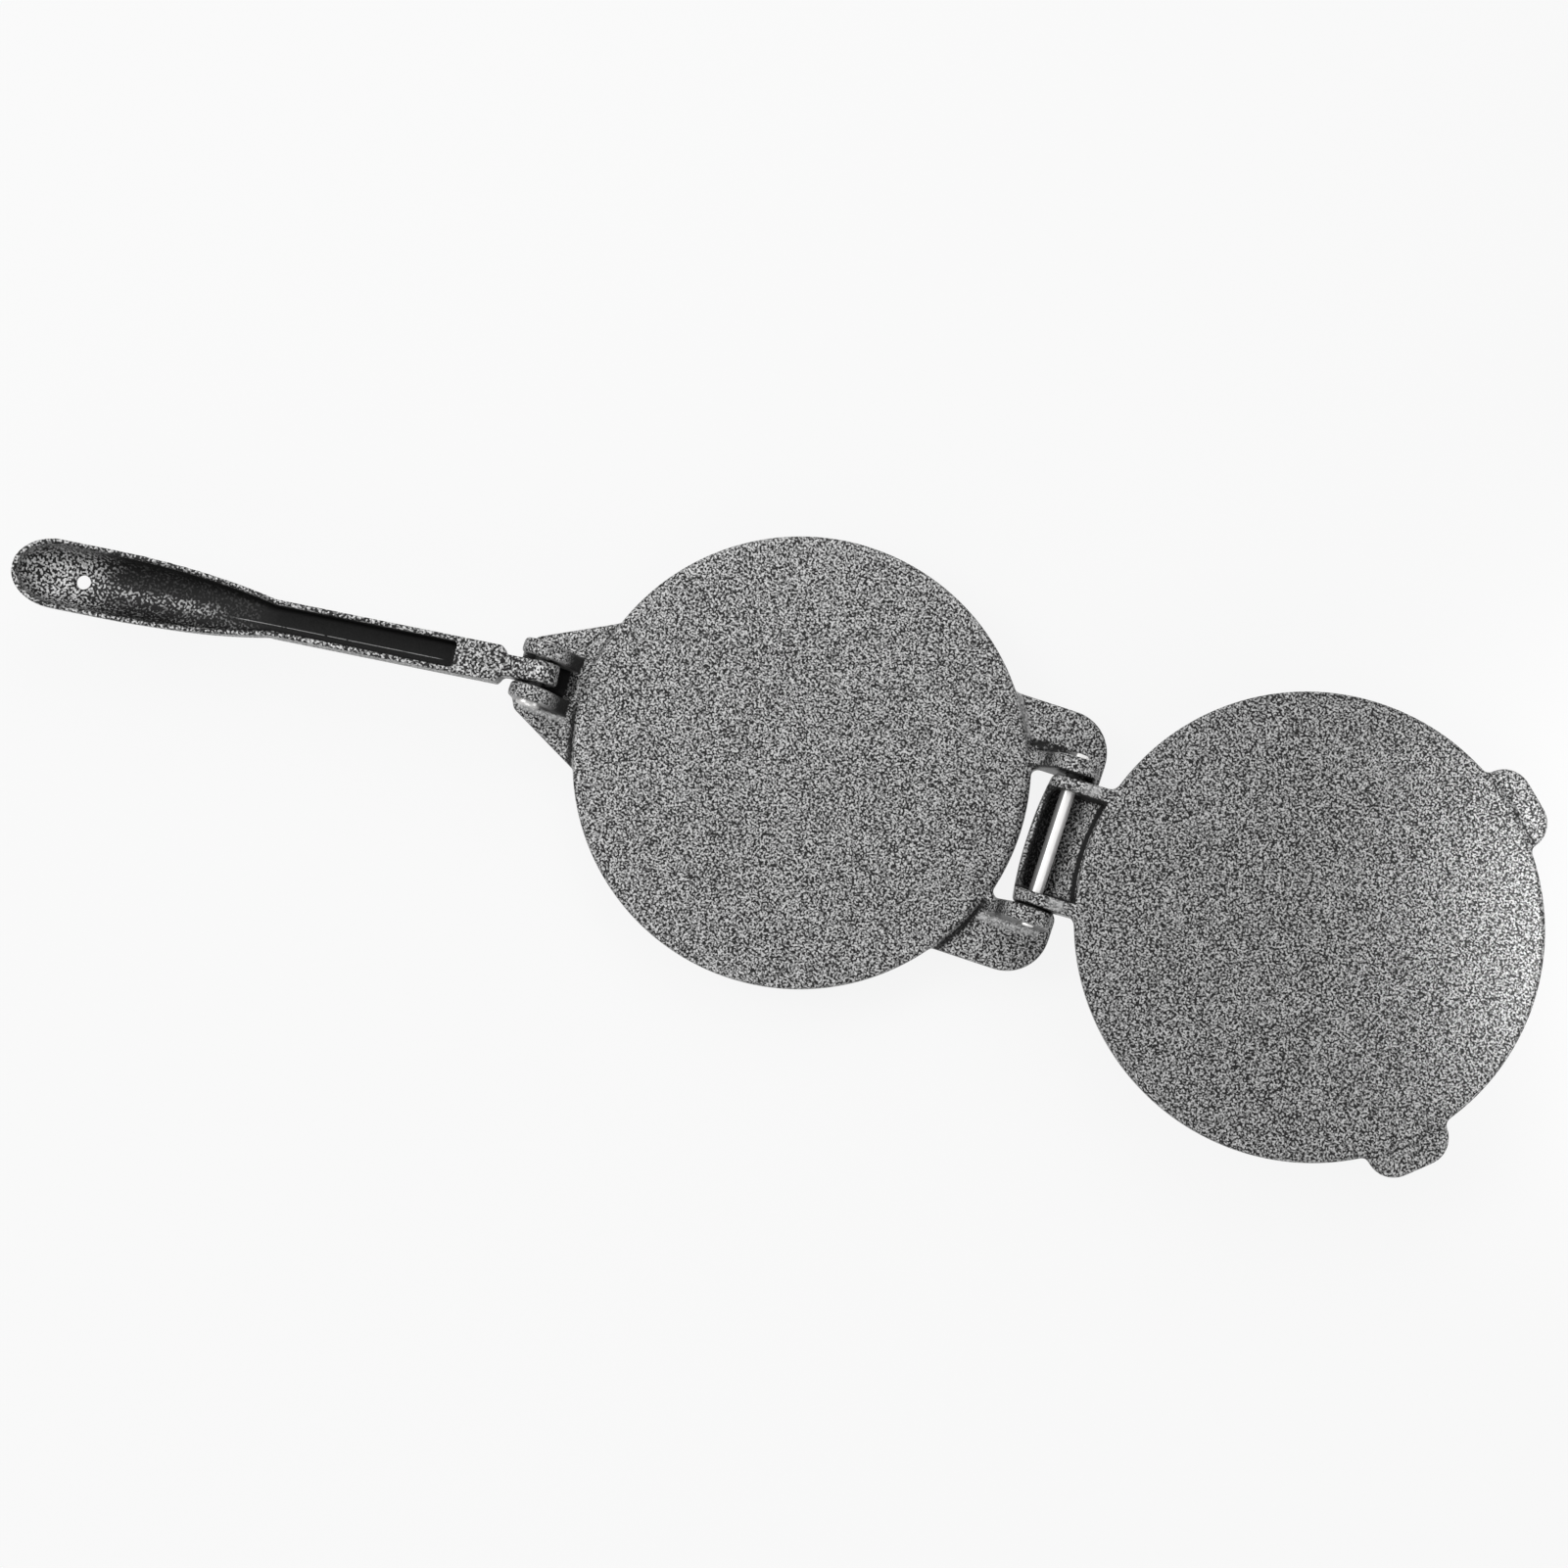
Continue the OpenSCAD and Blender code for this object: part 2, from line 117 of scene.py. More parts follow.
def turned(place, axis, centre, angle):
    return Wire.node("ShaderNodeVectorRotate", {"rotation_type": axis}, Vector=place,
                     Center=tuple(centre), Angle=angle)


# A region gives each coordinate that limits it (fades in from, to), (fades out from, to), in metres.
# A patch is a strength from 0 to 1 and its region.

def region(at, limits):
    masks = [at[name].above(*rise) for name, (rise, fall) in limits.items() if rise]
    masks += [at[name].below(*fall) for name, (rise, fall) in limits.items() if fall]
    return math.prod(masks[1:], start=masks[0])


def patch(at, strengthAndLimits):
    strength, limits = strengthAndLimits
    return region(at, limits) * strength


def strongest(at, patches):
    first, *others = [patch(at, each) for each in patches.values()]
    for other in others:
        first = first.high(other)
    return first


def streaks(at, look):
    return noise(at["place"], look["scale"], 1.0).above(*look["range"]) * look["depth"] + look["least"]


veinPaint = {
    "wormScale": 1060.0,       # turns of the dark veins in a metre
    "wormShare": 0.46,         # higher for more dark
    "wormEdge": 0.085,
    "patchScale": 70.0,        # where the veins thin out
    "patchDepth": 0.05,
    "flakeScale": 1300.0,
    "flakeRange": (0.3, 0.7),
    "noiseAt": (0.37, 0.21, 0.53),
    "noiseTurn": (0.55, 0.80, 0.35),  # keeps the noise's grid off the flat faces
    "field": 0.255,            # brightness of the grey field
    "fieldRange": (0.42, 2.0),
    "vein": 0.005,             # brightness in the veins
    # lit: brightness of painted highlights
    "lit": 1.0,
    "highlightsAndSeam": 1.7,               # brightness of painted highlights and of the lever's seam, times the field's
    "wall": 0.16,              # brightness of the steep, smooth walls, kept darker than the field as painted shade
    "wallSlope": (0.15, 0.45),
    "wallSmooth": 1.0,         # how far the veins vanish on steep walls
    "wallField": 0.75,
    "wallVeins": 0.65,
    "wallCut": 0.16,
    "shadeFrom": (-3.0, -2.0),  # the tilt from which a recess counts, here any
    "shadeCut": 0.12,
    "shadeFull": (0.72, 0.98),  # from where a recess has no veins left
    "shadeField": 0.98,
    "roughness": 0.36,
    "flakeRoughness": 0.14,
    "veinRoughness": 0.14,
    "wallGloss": 0.06,
    "metal": 0.25,
    "specular": 0.15,
    "coat": 0.16,
    "coatRoughness": 0.30,
    "bump": 0.0001,
    "bumpStrength": 0.8,
}


def makeVeinPaint(name, look, coordsOf, shadeAt, highlightsAndSeam, lit=None):
    material, shader = newMaterial(name)
    place = Wire.node("ShaderNodeTexCoord", out=3)
    upward = Wire.node("ShaderNodeSeparateXYZ", Vector=Wire.node("ShaderNodeTexCoord", out=1), out=2)
    at = {"place": place, **coordsOf(place)}
    shade = shadeAt(at) * upward.above(*look["shadeFrom"])  # painted shade: 0 in the open, 1 in a black recess
    steep = upward.size().below(*look["wallSlope"]) * look["wallSmooth"]
    grain = Wire.node("ShaderNodeMapping", Vector=place, Location=look["noiseAt"], Rotation=look["noiseTurn"])
    cut = (noise(grain, look["patchScale"], 1.0) - 0.5) * look["patchDepth"] + look["wormShare"]
    cut = cut + shade * look["shadeCut"] - steep * look["wallCut"]
    dark = noise(grain, look["wormScale"]).below(cut - look["wormEdge"], cut + look["wormEdge"])
    dark = (dark * (1 - steep * look["wallVeins"])).high(shade.above(*look["shadeFull"]))
    flakes = noise(grain, look["flakeScale"])
    low, high = (grey(look["field"] * share) for share in look["fieldRange"])
    field = flakes.above(*look["flakeRange"]).tint(low, high)
    field = (steep * look["wallField"]).tint(field, grey(look["wall"]))
    field = (shade * look["shadeField"]).tint(field, grey(look["vein"]))
    if lit:
        field = strongest(at, lit).tint(field, grey(look["lit"]))
    colour = dark.tint(field, grey(look["vein"]))
    # painted highlights, and the lever's bright seam, lighten the colour here
    highlightAndSeamShare = strongest(at, highlightsAndSeam["patches"]) * streaks(at, highlightsAndSeam["streaks"])
    colour = highlightAndSeamShare.tint(colour, grey(look["field"] * look["highlightsAndSeam"]))
    Wire.feed(shader.inputs["Base Color"], colour)
    rough = look["roughness"] + flakes * look["flakeRoughness"] + dark * look["veinRoughness"]
    Wire.feed(shader.inputs["Roughness"], rough - steep * look["wallGloss"])
    Wire.feed(shader.inputs["Metallic"], (1 - dark) * look["metal"])
    Wire.feed(shader.inputs["Coat Weight"], (1 - shade) * look["coat"])
    bump = Wire.node("ShaderNodeBump", Height=(1 - dark) + flakes, Strength=look["bumpStrength"],
                     Distance=look["bump"])
    Wire.feed(shader.inputs["Normal"], bump)
    shader.inputs["Coat Roughness"].default_value = look["coatRoughness"]
    shader.inputs["Specular IOR Level"].default_value = look["specular"]
    return material


baseShade = {
    "south": (-0.012, 0.004),
    "rim": {"radius": ((0.1002, 0.1008), ()), "z": ((-0.0068, -0.0060), (-0.0010, -0.0004))},
    "rimEnd": (0.1008, 0.1018),
    "rimWider": (0.0010, 0.0020),  # how much wider the rim's shade is in the south
    "rimSouth": 0.85,
    "rimFork": (0.4, {"x": ((), (-0.09, -0.08))}),
    "besideHinge": (0.030, 0.033),
    "beforeHinge": (0.0, 0.01),
    # painted shade, in streaks, along the north ear's north side
    "northEarShade": {"y": ((0.0368, 0.0382), (0.0418, 0.0432)), "x": ((0.0925, 0.0955), (0.106, 0.118)),
               "z": ((), (0.001, 0.005))},
    "northEarShadeStreaks": {"scale": 380.0, "range": (0.30, 0.60), "depth": 0.45, "least": 0.52},
    "patches": {
        "forkSlope": (0.90, {"side": ((0.0062, 0.0068), (0.0135, 0.0141)), "z": ((), (0.006, 0.017)),
                             "x": ((-0.1180, -0.1140), (-0.1045, -0.1035))}),
        "forkSlot": (1.0, {"side": ((), (0.0061, 0.0067)), "x": ((-0.1295, -0.1285), (-0.1090, -0.1066)),
                           "z": ((-0.0126, -0.0120), (0.002, 0.008))}),
        "earFaces": (0.9, {"side": ((0.0290, 0.0294), (0.0306, 0.0310)), "x": ((0.107, 0.109), ())}),
        "earRoots": (0.68, {"x": ((0.1008, 0.1022), (0.1038, 0.1052)), "z": ((-0.003, 0.0), ()),
                            "side": ((0.0286, 0.0298), (0.0378, 0.0390))}),
        "northEarFace": (0.77, {"y": ((0.0286, 0.0292), (0.0308, 0.0314)),
                                "x": ((0.094, 0.096), (0.1085, 0.1095))}),
    },
}
# painted highlights on the ears' south feet, and painted light on the north wing's shaded step
basePaintedHighlights = {
    "streaks": {"scale": 420.0, "range": (0.35, 0.6), "depth": 0.45, "least": 0.25},
    "patches": {
        "southEarFoot": (1.0, {"y": ((-0.0420, -0.0406), (-0.0390, -0.0376)),
                               "x": ((0.094, 0.097), (0.121, 0.124)),
                               "z": ((-0.0075, -0.0070), (-0.0010, 0.0010))}),
        "forkEarFoot": (1.0, {"y": ((-0.0170, -0.0158), (-0.0146, -0.0134)),
                              "x": ((-0.127, -0.124), (-0.106, -0.103)),
                              "z": ((-0.0075, -0.0070), (-0.0010, 0.0010))}),
        "northWingStep": (0.9, {"radius": ((0.0991, 0.1000), (0.1018, 0.1027)), "x": ((0.0, 0.01), ()),
                                "y": ((0.0410, 0.0430), (0.062, 0.070)),
                                "z": ((-0.0075, -0.0070), (-0.0010, 0.0010))}),
    },
}


def baseCoords(place):
    x, y, z = axes(place)
    return {"x": x, "y": y, "z": z, "side": y.size(), "radius": (x * x + y * y) ** 0.5}


def shadeOfBase(at):
    look = baseShade
    south = at["y"].below(*look["south"])
    start, end = (south * wider + edge for wider, edge in zip(look["rimWider"], look["rimEnd"]))
    rim = region(at, look["rim"]) * at["radius"].below(start, end)
    rim = rim * (south * look["rimSouth"]).high(patch(at, look["rimFork"]))
    rim = rim * at["side"].above(*look["besideHinge"]).high(at["x"].below(*look["beforeHinge"]))
    northEarShade = region(at, look["northEarShade"]) * streaks(at, look["northEarShadeStreaks"])
    return strongest(at, look["patches"]).high(rim).high(northEarShade)


lidShade = {
    "slip": 0.0006,  # how far south the lid has slid along its pin
    "floorAt": (0.102, 0.0123),  # x and z of a point on the hinge pocket's slanting floor
    "floorRise": 0.755,
    "pocket": {"side": ((), (0.0230, 0.0234)), "overFloor": ((), (0.0012, 0.0022)),
               "radius": ((0.1008, 0.1012), ())},
    "border": (0.1024, 0.1034),
    "corner": (0.85, {"side": ((0.0208, 0.0222), ())}),
    "borderShade": 0.92,
    "pocketShade": 0.08,
    "patches": {
        "curl": (0.78, {"fromPin": ((), (0.0092, 0.0098)), "pastPin": ((0.001, 0.004), ()),
                        "side": ((), (0.0230, 0.0234))}),
        "armSides": (0.8, {"side": ((0.0283, 0.0287), (0.0293, 0.0297)), "x": ((0.104, 0.107), ())}),
        "tabRoots": (0.7, {"radius": ((0.1004, 0.1013), (0.1019, 0.1028)), "z": ((0.0012, 0.0020), ()),
                           "x": ((), (-0.02, 0.0))}),
        "edge": (0.5, {"radius": ((0.0993, 0.0997), (0.1003, 0.1007)), "z": ((), (0.0006, 0.0009)),
                       "x": ((), (0.092, 0.096))}),
    },
}
# painted highlights on the hinge arms' slopes
lidPaintedHighlights = {
    "streaks": {"scale": 520.0, "range": (0.32, 0.58), "depth": 0.6, "least": 0.3},
    "patches": {"arms": (1.0, {"side": ((0.0230, 0.0246), (0.0274, 0.0290)), "z": ((), (0.005, 0.006)),
                               "x": ((0.1012, 0.1054), (0.1074, 0.1116))})},
}


def lidCoords(place):  # as if the lid were shut
    look = lidShade
    x, y, z = axes(turned(place, "Y_AXIS", lidPin, -lidTurn))
    y = y + look["slip"]
    floorX, floorZ = look["floorAt"]
    pastPin = x - lidPin.x
    pinPlane = Wire.node("ShaderNodeCombineXYZ", X=pastPin, Y=z - lidPin.z)
    fromPin = Wire.node("ShaderNodeVectorMath", {"operation": "LENGTH"}, out=1, i0=pinPlane)
    return {"x": x, "y": y, "z": z, "side": y.size(), "radius": (x * x + y * y) ** 0.5, "pastPin": pastPin,
            "fromPin": fromPin, "overFloor": z - ((x - floorX) * look["floorRise"] + floorZ)}


def shadeOfLid(at):
    look = lidShade
    line = at["radius"].below(*look["border"]).high(patch(at, look["corner"]))
    pocket = region(at, look["pocket"]) * (line * look["borderShade"] + look["pocketShade"])
    return strongest(at, look["patches"]).high(pocket)


leverShade = {
    "slant": 6.7,          # degrees that the lever turns to the south in its loose fork
    "rise": 0.0065,        # from the pin up to the lever's rim
    "halfInside": 0.0062,  # half the channel's width
    "floor": 0.0058,       # about how far the channel's floor lies below the pin
    "flareFrom": 0.118,    # where the lever widens into its grip
    "flareRun": 0.080,
    "flareCurve": 2.3,
    "flareWide": 0.00725,
    "flareDeep": 0.003,
    "hollow": {"depth": ((0.0006, 0.0026), ()), "room": ((0.0, 0.0005), ()), "overFloor": ((0.0, 0.0005), ())},
    "channel": {"x": ((0.0361, 0.0365), (0.118, 0.152))},
    "gripFrom": (0.108, 0.126),
    "grip": 0.85,
    "gripSouth": (0.10, {"y": ((0.003, 0.005), ())}),
    "gripMiddle": (0.40, {"y": ((-0.0030, 0.0), (0.0024, 0.0054)), "x": ((0.138, 0.150), (0.200, 0.208))}),
    "gripWall": (0.10, {"room": ((), (0.0003, 0.0020))}),
    "gripEnd": (0.85, {"x": ((0.185, 0.209), ())}),
    "lip": (0.4, {"room": ((-0.0009, -0.0003), ()), "x": ((0.108, 0.126), (0.216, 0.226)),
                  "depth": ((-0.0020, -0.0010), (0.0010, 0.0020))}),
}
# painted highlights in the grip and on the eye's crown
leverLit = {
    "gripEnd": (0.20, {"x": ((0.192, 0.204), ()), "side": ((), (0.006, 0.012)),
                       "z": ((-0.0090, -0.0085), (0.0, 0.003))}),
    "gripMiddle": (0.12, {"x": ((0.142, 0.156), ()), "y": ((-0.0024, 0.0004), (0.0020, 0.0048)),
                          "z": ((-0.0090, -0.0085), (0.0, 0.003))}),
    "eyeCrown": (0.45, {"x": ((-0.0046, -0.0022), (-0.0010, 0.0014)), "side": ((), (0.0012, 0.0034)),
                        "z": ((0.006, 0.007), ())}),
}
leverSeam = {  # a thin bright line along the channel's floor
    "streaks": {"scale": 300.0, "range": (0.34, 0.44), "depth": 0.7, "least": 0.0},
    "patches": {"line": (1.0, {"y": ((0.00196, 0.00212), (0.00228, 0.00244)), "x": ((0.042, 0.046), (0.140, 0.156)),
                               "z": ((-0.0060, -0.0055), (-0.0035, -0.0030))})},
}


def leverCoords(place):  # from the lever's pin, x towards the grip and y to the south
    look = leverShade
    x, y, z = axes(turned(place, "Z_AXIS", leverPin, -math.radians(180 + look["slant"])))
    x, y, z = x - leverPin.x, y - leverPin.y, z - leverPin.z
    side = y.size()
    run = ((x - look["flareFrom"]) / look["flareRun"]).high(0.0).low(1.0)
    flare = 1 - (1 - run) ** look["flareCurve"]
    return {"x": x, "y": y, "z": z, "side": side, "depth": look["rise"] - z,
            "room": flare * look["flareWide"] + look["halfInside"] - side,
            "overFloor": z + look["floor"] + flare * look["flareDeep"]}


def shadeOfLever(at):
    look = leverShade
    grip = look["grip"] - patch(at, look["gripSouth"]) - patch(at, look["gripMiddle"])
    grip = (grip + patch(at, look["gripWall"])) * (1 - patch(at, look["gripEnd"]))
    dark = region(at, look["channel"]).high(at["x"].above(*look["gripFrom"]) * grip)
    return (region(at, look["hollow"]) * dark).high(patch(at, look["lip"]))


steelLook = {"lineStretch": 60.0, "lineScale": 900.0, "lineShare": 0.6, "smudgeScale": 120.0, "detail": 3.0,
             "toneRange": (0.3, 0.7), "tones": (0.86, 1.06), "warm": 0.01, "pinShade": 0.012, "pinShadeFade": 0.0004,
             "roughness": 0.22, "lineRoughness": 0.16, "smudgeRoughness": 0.06, "pinShadeRoughness": 0.3,
             "metal": 0.55, "pinShadeMetal": 0.4, "bump": 0.00004, "bumpStrength": 0.25}
hingePinLook = {**steelLook, "shade": 0.92,
                "hidden": (0.0286, 0.0304),  # painted shade between two castings, so far to each side
                "turnedAway": (0.85, {"pastPin": ((), (-0.0018, -0.0010))})}  # painted shade on the side towards the curled wall
leverPinLook = {**steelLook, "shade": 0.60, "hidden": (-0.0064, 0.0064), "turnedAway": None}


def makeSteel(name, look):
    material, shader = newMaterial(name)
    place = Wire.node("ShaderNodeTexCoord", out=3)
    x, y, z = axes(place)
    along = Wire.node("ShaderNodeMapping", Vector=place, Scale=(1.0, 1 / look["lineStretch"], 1.0))
    lines = noise(along, look["lineScale"], look["detail"])
    smudge = noise(place, look["smudgeScale"], look["detail"])
    tone = (lines * look["lineShare"] + smudge * (1 - look["lineShare"])).above(*look["toneRange"])
    dark, light = (grey(look["shade"] * share, look["warm"]) for share in look["tones"])
    # painted shade where a pin lies between castings, and on the hinge pin's side turned away
    (start, end), fade = look["hidden"], look["pinShadeFade"]
    pinShade = region({"side": y.size()}, {"side": ((start - fade, start), (end, end + fade))})
    if look["turnedAway"]:
        pinShade = pinShade.high(patch({"pastPin": x - lidPin.x}, look["turnedAway"]))
    Wire.feed(shader.inputs["Base Color"], pinShade.tint(tone.tint(dark, light), grey(look["pinShade"])))
    rough = look["roughness"] + lines * look["lineRoughness"] + smudge * look["smudgeRoughness"]
    Wire.feed(shader.inputs["Roughness"], rough + pinShade * look["pinShadeRoughness"])
    Wire.feed(shader.inputs["Metallic"], look["metal"] - pinShade * look["pinShadeMetal"])
    bump = Wire.node("ShaderNodeBump", Height=lines, Strength=look["bumpStrength"], Distance=look["bump"])
    Wire.feed(shader.inputs["Normal"], bump)
    return material


# the lid's field is a little darker than the base's, as painted shade
lidVeins = {**veinPaint, "field": 0.231}
leverVeins = {**veinPaint, "wormScale": 920.0, "wormShare": 0.49, "wormEdge": 0.060, "flakeScale": 1120.0,
              "wallSmooth": 0.25, "shadeFrom": (-0.25, -0.05)}
basePaint = makeVeinPaint("basePaint", veinPaint, baseCoords, shadeOfBase, basePaintedHighlights)
lidPaint = makeVeinPaint("lidPaint", lidVeins, lidCoords, shadeOfLid, lidPaintedHighlights)
leverPaint = makeVeinPaint("leverPaint", leverVeins, leverCoords, shadeOfLever, leverSeam, leverLit)
hingeSteel = makeSteel("hingeSteel", hingePinLook)
leverSteel = makeSteel("leverSteel", leverPinLook)
print("materials made")


def newObject(name, mesh, material):
    piece = bpy.data.objects.new(name, mesh)
    bpy.context.scene.collection.objects.link(piece)
    mesh.materials.clear()
    mesh.materials.append(material)
    return piece


def close(shell, low, high):  # a closed solid between two rings of points
    shell.faces.new(low[::-1])
    shell.faces.new(high)
    for i in range(len(low)):
        j = (i + 1) % len(low)
        shell.faces.new((low[i], low[j], high[j], high[i]))


def prism(shell, outline, low, high):  # a side view, from y = low to y = high
    close(shell, *[[shell.verts.new((x, y, z)) for x, z in outline] for y in (low, high)])


def slab(shell, outline, low, high):  # a plan, from z = low to z = high
    close(shell, *[[shell.verts.new((x, y, z)) for x, y in outline] for z in (low, high)])


def solidCopy(node, place):
    shell = bmesh.new()
    shell.from_mesh(frame["nodes"][node].data)
    bmesh.ops.remove_doubles(shell, verts=shell.verts, dist=1e-6)
    bmesh.ops.transform(shell, matrix=place, verts=shell.verts)
    return shell


def openBore(shell, pin, reach, more):  # the voxel steps close a bore a little, so it starts wider
    for vert in shell.verts:
        away = Vector((vert.co.x - pin.x, 0, vert.co.z - pin.z))
        if away.length < reach:
            vert.co += away.normalized() * more


def evaluated(piece):
    graph = bpy.context.evaluated_depsgraph_get()
    return bpy.data.meshes.new_from_object(piece.evaluated_get(graph), depsgraph=graph)


def cast(name, shell, look, back, paint):
    mesh = bpy.data.meshes.new(name)
    bmesh.ops.recalc_face_normals(shell, faces=shell.faces)
    shell.to_mesh(mesh)
    shell.free()
    rough = newObject(name + "Rough", mesh, paint)
    swell, shrink = look["fillet"], look["fillet"] + look["rounding"]
    for step, push in enumerate((swell, -shrink, look["rounding"], 0)):  # rounds inner, then outer corners
        skin = rough.modifiers.new("skin" + str(step), "REMESH")
        skin.mode = "VOXEL"
        skin.voxel_size = look["voxel"]
        if push:
            offset = rough.modifiers.new("offset" + str(step), "DISPLACE")
            offset.strength = push
            offset.mid_level = 0
    soften = rough.modifiers.new("soften", "SMOOTH")
    soften.factor = look["softness"]
    soften.iterations = look["soften"]
    thin = rough.modifiers.new("thin", "DECIMATE")
    thin.ratio = look["keep"]
    made = evaluated(rough)
    bpy.data.objects.remove(rough)
    made.transform(back)
    for face in made.polygons:
        face.use_smooth = True
    print(name, "has", len(made.polygons), "faces")
    return newObject(name, made, paint)


def makeRibTree():
    tree = bpy.data.node_groups.new("radialRibs", "GeometryNodeTree")
    kinds = {"Count": "Int", "Length": "Float", "Lower Width": "Float", "Upper Width": "Float", "Low": "Float",
             "High": "Float", "First Turn": "Float", "Turn Step": "Float", "Material": "Material"}
    for name, kind in kinds.items():
        tree.interface.new_socket(name, in_out="INPUT", socket_type="NodeSocket" + kind)
    tree.interface.new_socket("Geometry", in_out="OUTPUT", socket_type="NodeSocketGeometry")
    Wire.tree = tree
    given = {name: Wire.node("NodeGroupInput", out=name) for name in kinds}
    level = (given["Low"] + given["High"]) * 0.5
    line = Wire.node("GeometryNodeCurvePrimitiveLine", Start=Wire.node("ShaderNodeCombineXYZ", Z=level),
                     End=Wire.node("ShaderNodeCombineXYZ", X=given["Length"], Z=level))
    section = Wire.node("GeometryNodeCurvePrimitiveQuadrilateral", {"mode": "TRAPEZOID"}, Offset=0.0,
                        Height=given["High"] - given["Low"], Bottom_Width=given["Upper Width"],
                        Top_Width=given["Lower Width"])  # the sweep turns the section upside down
    rib = Wire.node("GeometryNodeCurveToMesh", Curve=line, Profile_Curve=section, Fill_Caps=True)
    turn = Wire.node("GeometryNodeInputIndex") * given["Turn Step"] + given["First Turn"]
    ribs = Wire.node("GeometryNodeInstanceOnPoints", Points=Wire.node("GeometryNodePoints", Count=given["Count"]),
                     Instance=rib, Rotation=Wire.node("ShaderNodeCombineXYZ", Z=turn))
    ribs = Wire.node("GeometryNodeRealizeInstances", Geometry=ribs)
    ribs = Wire.node("GeometryNodeSetMaterial", Geometry=ribs, Material=given["Material"])
    Wire.feed(tree.nodes.new("NodeGroupOutput").inputs["Geometry"], ribs)
    return tree


ribTree = makeRibTree()


def addRibs(shell, paint, look):
    for count, first, step in look["ribTurns"]:
        host = newObject("ribHost", bpy.data.meshes.new("ribHost"), paint)
        run = host.modifiers.new("ribs", "NODES")
        run.node_group = ribTree
        values = {**look["ribs"], "Count": count, "First Turn": math.radians(first),
                  "Turn Step": math.radians(step), "Material": paint}
        for item in ribTree.interface.items_tree:
            if item.in_out == "INPUT":
                run[item.identifier] = values[item.name]
        mesh = evaluated(host)
        bpy.data.objects.remove(host)
        shell.from_mesh(mesh)


baseLook = {
    "voxel": 0.0008, "fillet": 0.0016, "rounding": 0.0005, "soften": 3, "softness": 0.5, "keep": 0.30,
    "forkWall": ((-0.1040, -0.0014), (-0.1052, -0.0040), (-0.1076, -0.0080), (-0.1120, -0.0114),
                 (-0.1120, -0.0124), (-0.1030, -0.0124), (-0.1030, -0.0014)),  # the slope behind the tongue
    "forkGap": 0.0068,
    "apron": (0.0975, 0.1017),  # inner and outer radius of the rim between the ears
    "apronHalf": 0.0302, "apronSteps": 24, "apronTop": -0.0009, "apronBottom": -0.0070,
    "ribs": {"Length": 0.104, "Lower Width": 0.0070, "Upper Width": 0.0094, "Low": -0.0130, "High": -0.0055},
    "ribTurns": ((1, 180.0, 0.0), (2, -21.76, 43.52)),  # how many, first angle, step
}


def makeBase():
    look = baseLook
    shell = solidCopy("base_plate", Matrix())
    prism(shell, look["forkWall"], -look["forkGap"], look["forkGap"])
    inner, outer = look["apron"]
    steps = look["apronSteps"]
    sides = [look["apronHalf"] * (2 * i / steps - 1) for i in range(steps + 1)]
    rim = [(math.sqrt(outer * outer - y * y), y) for y in sides]
    rim += [(math.sqrt(inner * inner - y * y), y) for y in reversed(sides)]
    slab(shell, rim, look["apronBottom"], look["apronTop"])
    addRibs(shell, basePaint, look)
    piece = cast("basePlate", shell, look, Matrix(), basePaint)
    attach(piece, "base")
    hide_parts("base_plate")


lidLook = {
    "voxel": 0.0008, "fillet": 0.0016, "rounding": 0.0005, "soften": 3, "softness": 0.5, "keep": 0.30,
    "bore": (0.0038, 0.0005),  # opened within so far of the pin's line, by so much
    "ribs": {"Length": 0.0962, "Lower Width": 0.0094, "Upper Width": 0.0080, "Low": 0.0060, "High": 0.0095},
    "ribTurns": ((1, 0.0, 0.0), (3, 132.0, 48.0)),
}


def makeLid():  # shaped as if shut, then opened
    look = lidLook
    shut = Matrix.Translation(lidPin) @ Matrix.Rotation(-lidTurn, 4, "Y") @ Matrix.Translation(-lidPin)
    shell = solidCopy("lid_plate", shut)
    openBore(shell, lidPin, *look["bore"])
    addRibs(shell, lidPaint, look)
    piece = cast("lidPlate", shell, look, shut.inverted(), lidPaint)
    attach(piece, "lid")
    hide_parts("lid_plate")


leverLook = {
    "voxel": 0.0005, "fillet": 0.0008, "rounding": 0.0004, "soften": 3, "softness": 0.5, "keep": 0.35,
    "bore": (0.0042, 0.0002),
}


def makeLever():  # shaped lying straight, then slanted
    look = leverLook
    turn = Matrix.Rotation(math.radians(180 + leverShade["slant"]), 4, "Z")
    straight = turn.inverted() @ Matrix.Translation(-leverPin)
    shell = solidCopy("lever", straight)
    openBore(shell, Vector((0, 0, 0)), *look["bore"])
    piece = cast("lever", shell, look, straight.inverted(), leverPaint)
    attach(piece, "lever_arm")
    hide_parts("lever")


makeBase()
makeLid()
makeLever()
for name, steel in (("hinge_pin", hingeSteel), ("lever_pin", leverSteel)):
    frame["nodes"][name].data.materials.clear()
    frame["nodes"][name].data.materials.append(steel)
print("castings made")


stageLook = {"height": -0.0243, "size": 6.0, "pale": 0.45, "roughness": 0.9, "white": 1.0, "shadowShare": 0.12}


def seenRays():  # 1 where the white is looked at, straight, in a reflection or through glass
    rays = ("Is Camera Ray", "Is Glossy Ray", "Is Transmission Ray")
    straight, glossy, through = (Wire.node("ShaderNodeLightPath", out=ray) for ray in rays)
    return straight.high(glossy).high(through)


def whiteInView(material, shader, look):
    glow = Wire.node("ShaderNodeEmission", Strength=look["white"])
    mixed = Wire.node("ShaderNodeMixShader", i0=seenRays() * (1 - look["shadowShare"]),
                      i1=Wire(shader.outputs[0]), i2=glow)
    Wire.feed(material.node_tree.nodes["Material Output"].inputs["Surface"], mixed)


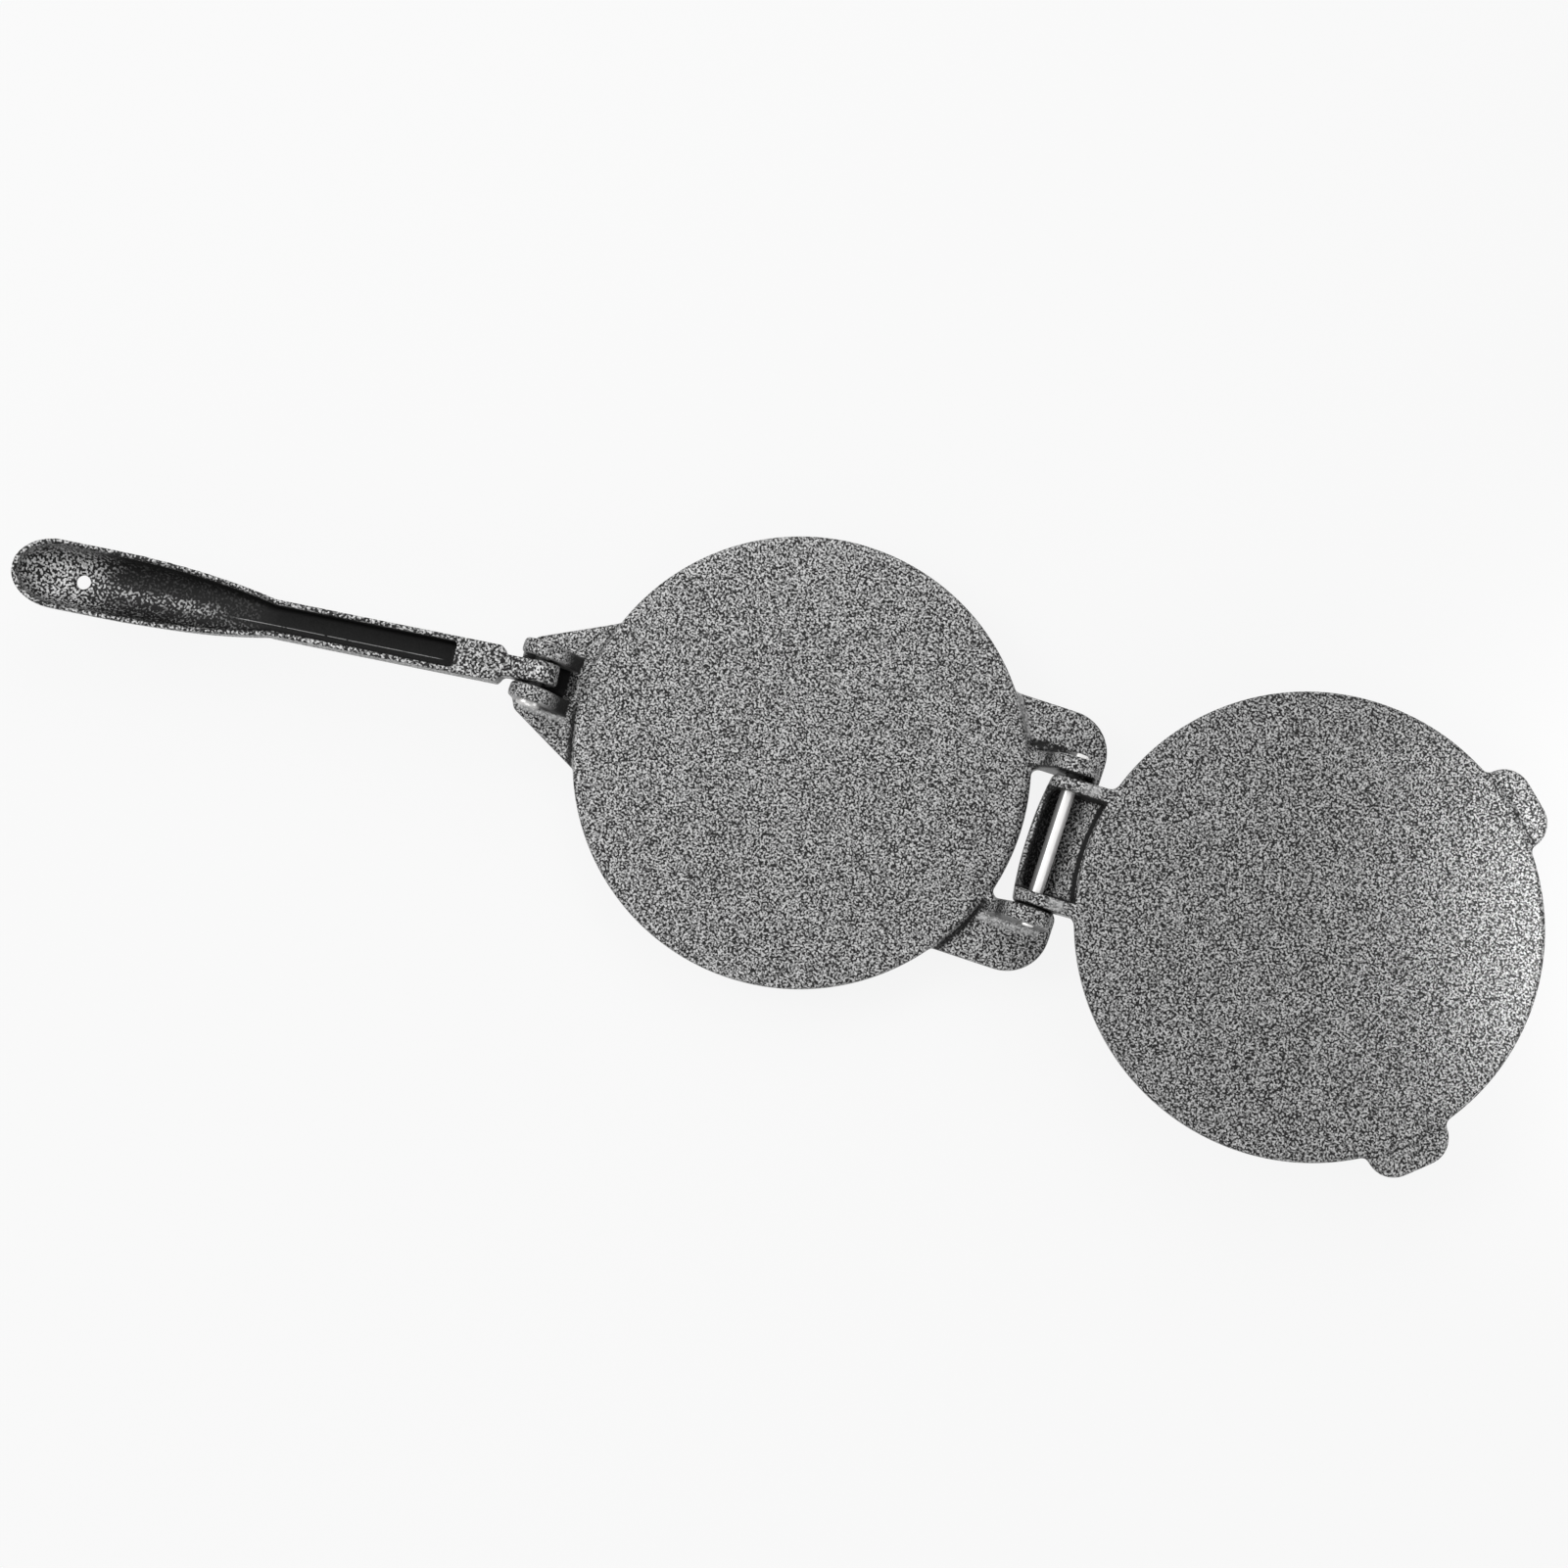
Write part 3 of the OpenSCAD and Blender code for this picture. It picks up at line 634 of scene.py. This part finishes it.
def makeStage():
    look = stageLook
    material, shader = newMaterial("paleFloor")
    shader.inputs["Base Color"].default_value = grey(look["pale"])
    shader.inputs["Roughness"].default_value = look["roughness"]
    whiteInView(material, shader, look)
    half, height = look["size"] / 2, look["height"]
    corners = [(-half, -half, height), (half, -half, height), (half, half, height), (-half, half, height)]
    mesh = bpy.data.meshes.new("floor")
    mesh.from_pydata(corners, [], [(0, 1, 2, 3)])
    floor = newObject("floor", mesh, material)


lampLook = {
    "east": {"place": (1.3, -0.15, 0.32), "aim": (0.15, 0, 0), "size": 0.6, "power": 4.0, "spread": 180},
    "south": {"place": (0.0, -1.2, 0.62), "aim": (0, 0, 0), "size": 0.8, "power": 4.6, "spread": 180},
    "west": {"place": (-0.9, 0.0, 1.0), "aim": (0, 0, 0), "size": 0.7, "power": 7.5, "spread": 180},
    "north": {"place": (-0.2, 0.75, 0.8), "aim": (-0.1, 0, 0), "size": 0.7, "power": 5.0, "spread": 180},
    "beam": {"place": (0.65, 0.12, 0.9), "aim": (0.46, 0.09, 0), "size": 0.12, "power": 0.37, "spread": 24},
}
skyLook = {"low": 0.12, "high": 0.60, "heights": (0.20, 0.75)}  # dim near the horizon, bright overhead


def makeLamps():
    for name, look in lampLook.items():
        lamp = bpy.data.lights.new(name, "AREA")
        lamp.shape = "SQUARE"
        lamp.size = look["size"]
        lamp.energy = look["power"]
        lamp.spread = math.radians(look["spread"])
        holder = bpy.data.objects.new(name, lamp)
        holder.location = look["place"]
        aim = Vector(look["aim"]) - Vector(look["place"])
        holder.rotation_euler = aim.to_track_quat("-Z", "Y").to_euler()
        bpy.context.scene.collection.objects.link(holder)


def makeSky():
    world = bpy.data.worlds.new("studio")
    bpy.context.scene.world = world
    world.use_nodes = True
    Wire.tree = world.node_tree
    sky = world.node_tree.nodes["Background"]
    sky.inputs["Color"].default_value = grey(1.0)
    height = axes(Wire.node("ShaderNodeTexCoord", out=0))[2]
    glow = height.above(*skyLook["heights"]) * (skyLook["high"] - skyLook["low"]) + skyLook["low"]
    Wire.feed(sky.inputs["Strength"], glow.high(seenRays()))


viewLook = {"turn": 33.73, "tilt": 5.49, "roll": -15.41, "distance": 1.40823,
            "target": (-0.00323, -0.01178, 0.0), "lens": 73.783, "sensor": 36}


def makeCamera():
    look = viewLook
    turn, tilt, roll = (math.radians(look[key]) for key in ("turn", "tilt", "roll"))
    back = Vector((math.sin(turn) * math.sin(tilt), -math.cos(turn) * math.sin(tilt), math.cos(tilt)))
    right = Vector((math.cos(turn), math.sin(turn), 0))
    up = back.cross(right)
    right, up = (right * math.cos(roll) + up * math.sin(roll),
                 up * math.cos(roll) - right * math.sin(roll))
    place = Matrix((right, up, back)).transposed().to_4x4()
    place.translation = Vector(look["target"]) + back * look["distance"]
    lens = bpy.data.cameras.new("camera")
    lens.sensor_width = look["sensor"]
    lens.sensor_fit = "HORIZONTAL"
    lens.lens = look["lens"]
    camera = bpy.data.objects.new("camera", lens)
    camera.matrix_world = place
    bpy.context.scene.collection.objects.link(camera)
    bpy.context.scene.camera = camera


makeStage()
makeLamps()
makeSky()
makeCamera()
bpy.context.scene.view_settings.view_transform = "Standard"
print("stage, lamps and camera made")

bpy.context.view_layer.update()
